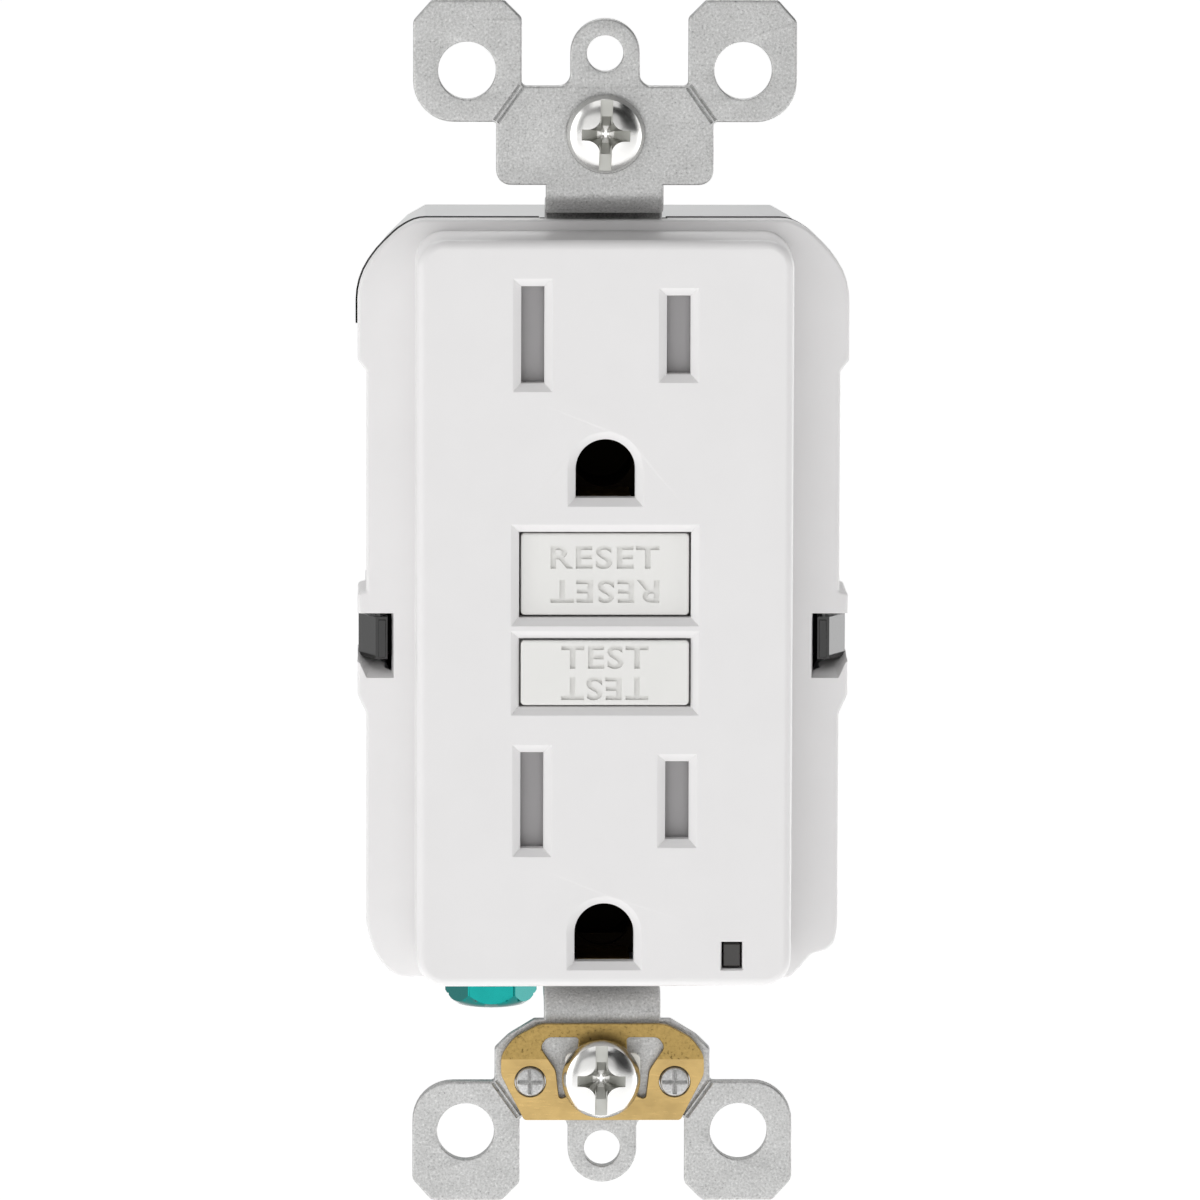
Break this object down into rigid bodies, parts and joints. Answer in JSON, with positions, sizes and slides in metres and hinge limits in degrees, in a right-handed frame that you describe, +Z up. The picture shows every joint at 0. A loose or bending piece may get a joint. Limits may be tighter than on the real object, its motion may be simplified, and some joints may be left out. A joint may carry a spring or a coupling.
{
  "type": "gfci outlet",
  "caption": "Duplex ground-fault receptacle with rectangular face, reset and test buttons, tamper-resistant slots and an eared steel mounting strap.",
  "frame": {"origin": "midway between the two mounting screws, on the rear plane of the strap's ears, which lies on the wall", "axes": "-Y out of the face towards the user, +Y into the wall box, +Z up with the ground holes below their blades, +X to the user's right"},
  "size_m": [0.0436, 0.033, 0.1062],
  "materials": {
    "cover_plastic": "fine satin moulding, white",
    "rear_plastic": "satin moulding, light grey",
    "black_plastic": "glossy black moulding",
    "shutter_plastic": "matt grey moulding",
    "natural_plastic": "unpigmented moulding",
    "strap_steel": "zinc-plated, fine grain",
    "bright_steel": "bright nickel plate",
    "plain_steel": "plain plated steel",
    "brass": "rolled brass",
    "winding": "enamelled copper",
    "green_steel": "green-dyed steel",
    "board": "solder-masked laminate",
    "lens": "smoked clear plastic, unlit",
    "component_blue": "dipped epoxy",
    "component_black": "moulded package",
    "component_tan": "coated resistor body"
  },
  "bodies": {
    "body": {"front_cover": "cover_plastic", "rear_housing": "rear_plastic", "middle_housing": "black_plastic", "transformer_case": "black_plastic", "upper_shutter_guide": "natural_plastic", "lower_shutter_guide": "natural_plastic", "solenoid_bobbin": "natural_plastic", "mounting_strap": "strap_steel", "clip_rivet_left": "bright_steel", "clip_rivet_right": "bright_steel", "upper_shutter_spring": "bright_steel", "lower_shutter_spring": "bright_steel", "reset_spring": "bright_steel", "test_spring": "bright_steel", "plunger_spring": "bright_steel", "assembly_screw_1": "plain_steel", "assembly_screw_2": "plain_steel", "assembly_screw_3": "plain_steel", "assembly_screw_4": "plain_steel", "self_ground_clip": "brass", "hot_contact_strip": "brass", "neutral_contact_strip": "brass", "line_hot_terminal": "brass", "line_neutral_terminal": "brass", "upper_ground_contact": "brass", "lower_ground_contact": "brass", "solenoid_coil": "winding", "ground_fault_transformer": "winding", "neutral_transformer": "winding", "circuit_board": "board", "indicator_light_pipe": "lens", "indicator_led": "lens", "surge_varistor": "component_blue", "storage_capacitor": "component_black", "control_chip": "component_black", "test_resistor": "component_tan"},
    "reset_button": {"reset_button": "cover_plastic", "reset_pin": "plain_steel"},
    "test_button": {"test_button": "cover_plastic"},
    "upper_shutter": {"upper_shutter": "shutter_plastic"},
    "lower_shutter": {"lower_shutter": "shutter_plastic"},
    "load_hot_clamp": {"load_hot_clamp_plate": "plain_steel"},
    "load_hot_screw": {"load_hot_terminal_screw": "brass"},
    "load_neutral_clamp": {"load_neutral_clamp_plate": "plain_steel"},
    "load_neutral_screw": {"load_neutral_terminal_screw": "bright_steel"},
    "line_hot_clamp": {"line_hot_clamp_plate": "plain_steel"},
    "line_hot_screw": {"line_hot_terminal_screw": "brass"},
    "line_neutral_clamp": {"line_neutral_clamp_plate": "plain_steel"},
    "line_neutral_screw": {"line_neutral_terminal_screw": "bright_steel"},
    "ground_clamp": {"ground_clamp_plate": "plain_steel"},
    "ground_screw": {"ground_screw": "green_steel"},
    "upper_retainer": {"upper_screw_retainer": "natural_plastic"},
    "upper_mounting_screw": {"upper_mounting_screw": "bright_steel"},
    "lower_retainer": {"lower_screw_retainer": "natural_plastic"},
    "lower_mounting_screw": {"lower_mounting_screw": "bright_steel"},
    "contact_carriage": {"contact_carriage": "natural_plastic"},
    "hot_contact_arm": {"hot_contact_arm": "brass"},
    "neutral_contact_arm": {"neutral_contact_arm": "brass"},
    "solenoid_plunger": {"solenoid_plunger": "plain_steel"},
    "latch_plate": {"latch_plate": "plain_steel"}
  },
  "joints": [
    {"name": "reset_press", "type": "slide", "parent": "body", "child": "reset_button", "axis": [0, 1, 0], "range_m": [-0.0016, 0.0012], "stiffness_N_per_m": 600, "deforming": ["reset_spring"]},
    {"name": "test_press", "type": "slide", "parent": "body", "child": "test_button", "axis": [0, 1, 0], "range_m": [0, 0.0012], "stiffness_N_per_m": 700, "springref_m": -0.0005, "deforming": ["test_spring"]},
    {"name": "upper_shutter_slide", "type": "slide", "parent": "body", "child": "upper_shutter", "axis": [1, 0, 0], "range_m": [0, 0.0026], "stiffness_N_per_m": 120, "springref_m": -0.001, "deforming": ["upper_shutter_spring"]},
    {"name": "lower_shutter_slide", "type": "slide", "parent": "body", "child": "lower_shutter", "axis": [1, 0, 0], "range_m": [0, 0.0026], "stiffness_N_per_m": 120, "springref_m": -0.001, "deforming": ["lower_shutter_spring"]},
    {"name": "load_hot_clamp_slide", "type": "slide", "parent": "body", "child": "load_hot_clamp", "axis": [1, 0, 0], "range_m": [0, 0.003]},
    {"name": "load_hot_screw_turn", "type": "hinge", "parent": "load_hot_clamp", "child": "load_hot_screw", "pos_m": [0.0198, 0.0146, 0.0135], "axis": [1, 0, 0], "range_deg": [0, 1362]},
    {"name": "load_neutral_clamp_slide", "type": "slide", "parent": "body", "child": "load_neutral_clamp", "axis": [-1, 0, 0], "range_m": [0, 0.003]},
    {"name": "load_neutral_screw_turn", "type": "hinge", "parent": "load_neutral_clamp", "child": "load_neutral_screw", "pos_m": [-0.0198, 0.0146, 0.0135], "axis": [-1, 0, 0], "range_deg": [0, 1362]},
    {"name": "line_hot_clamp_slide", "type": "slide", "parent": "body", "child": "line_hot_clamp", "axis": [1, 0, 0], "range_m": [0, 0.003]},
    {"name": "line_hot_screw_turn", "type": "hinge", "parent": "line_hot_clamp", "child": "line_hot_screw", "pos_m": [0.0198, 0.0146, -0.0135], "axis": [1, 0, 0], "range_deg": [0, 1362]},
    {"name": "line_neutral_clamp_slide", "type": "slide", "parent": "body", "child": "line_neutral_clamp", "axis": [-1, 0, 0], "range_m": [0, 0.003]},
    {"name": "line_neutral_screw_turn", "type": "hinge", "parent": "line_neutral_clamp", "child": "line_neutral_screw", "pos_m": [-0.0198, 0.0146, -0.0135], "axis": [-1, 0, 0], "range_deg": [0, 1362]},
    {"name": "ground_clamp_slide", "type": "slide", "parent": "body", "child": "ground_clamp", "axis": [0, 0, -1], "range_m": [0, 0.003]},
    {"name": "ground_screw_turn", "type": "hinge", "parent": "ground_clamp", "child": "ground_screw", "pos_m": [-0.0097, 0.0094, -0.0345], "axis": [0, 0, -1], "range_deg": [0, 1362]},
    {"name": "upper_screw_float", "type": "slide", "parent": "body", "child": "upper_retainer", "axis": [0, -1, 0], "range_m": [0, 0.004]},
    {"name": "upper_screw_turn", "type": "hinge", "parent": "upper_retainer", "child": "upper_mounting_screw", "pos_m": [0, -0.0016, 0.04167], "axis": [0, -1, 0], "continuous": true},
    {"name": "lower_screw_float", "type": "slide", "parent": "body", "child": "lower_retainer", "axis": [0, -1, 0], "range_m": [0, 0.004]},
    {"name": "lower_screw_turn", "type": "hinge", "parent": "lower_retainer", "child": "lower_mounting_screw", "pos_m": [0, -0.0016, -0.04167], "axis": [0, -1, 0], "continuous": true},
    {"name": "carriage_slide", "type": "slide", "parent": "body", "child": "contact_carriage", "axis": [0, 1, 0], "range_m": [0, 0.0016], "stiffness_N_per_m": 300, "springref_m": -0.001},
    {"name": "hot_arm_swing", "type": "hinge", "parent": "body", "child": "hot_contact_arm", "pos_m": [0.0113, 0.0119, -0.0006], "axis": [-1, 0, 0], "range_deg": [0, 10]},
    {"name": "neutral_arm_swing", "type": "hinge", "parent": "body", "child": "neutral_contact_arm", "pos_m": [-0.0113, 0.0119, -0.0006], "axis": [-1, 0, 0], "range_deg": [0, 10]},
    {"name": "plunger_slide", "type": "slide", "parent": "body", "child": "solenoid_plunger", "axis": [0, 0, -1], "range_m": [0, 0.0012], "stiffness_N_per_m": 100, "springref_m": -0.001, "deforming": ["plunger_spring"]},
    {"name": "latch_slide", "type": "slide", "parent": "contact_carriage", "child": "latch_plate", "axis": [0, 0, -1], "range_m": [0, 0.00121]}
  ],
  "couplings": [
    {"joint": "load_hot_screw_turn", "follows": "load_hot_clamp_slide", "rad_per_m": 7915.8},
    {"joint": "load_neutral_screw_turn", "follows": "load_neutral_clamp_slide", "rad_per_m": 7915.8},
    {"joint": "line_hot_screw_turn", "follows": "line_hot_clamp_slide", "rad_per_m": 7915.8},
    {"joint": "line_neutral_screw_turn", "follows": "line_neutral_clamp_slide", "rad_per_m": 7915.8},
    {"joint": "ground_screw_turn", "follows": "ground_clamp_slide", "rad_per_m": 7915.8},
    {"joint": "hot_arm_swing", "follows": "carriage_slide", "rad_per_m": 108},
    {"joint": "neutral_arm_swing", "follows": "carriage_slide", "rad_per_m": 108},
    {"joint": "latch_slide", "follows": "plunger_slide", "ratio": 1}
  ]
}
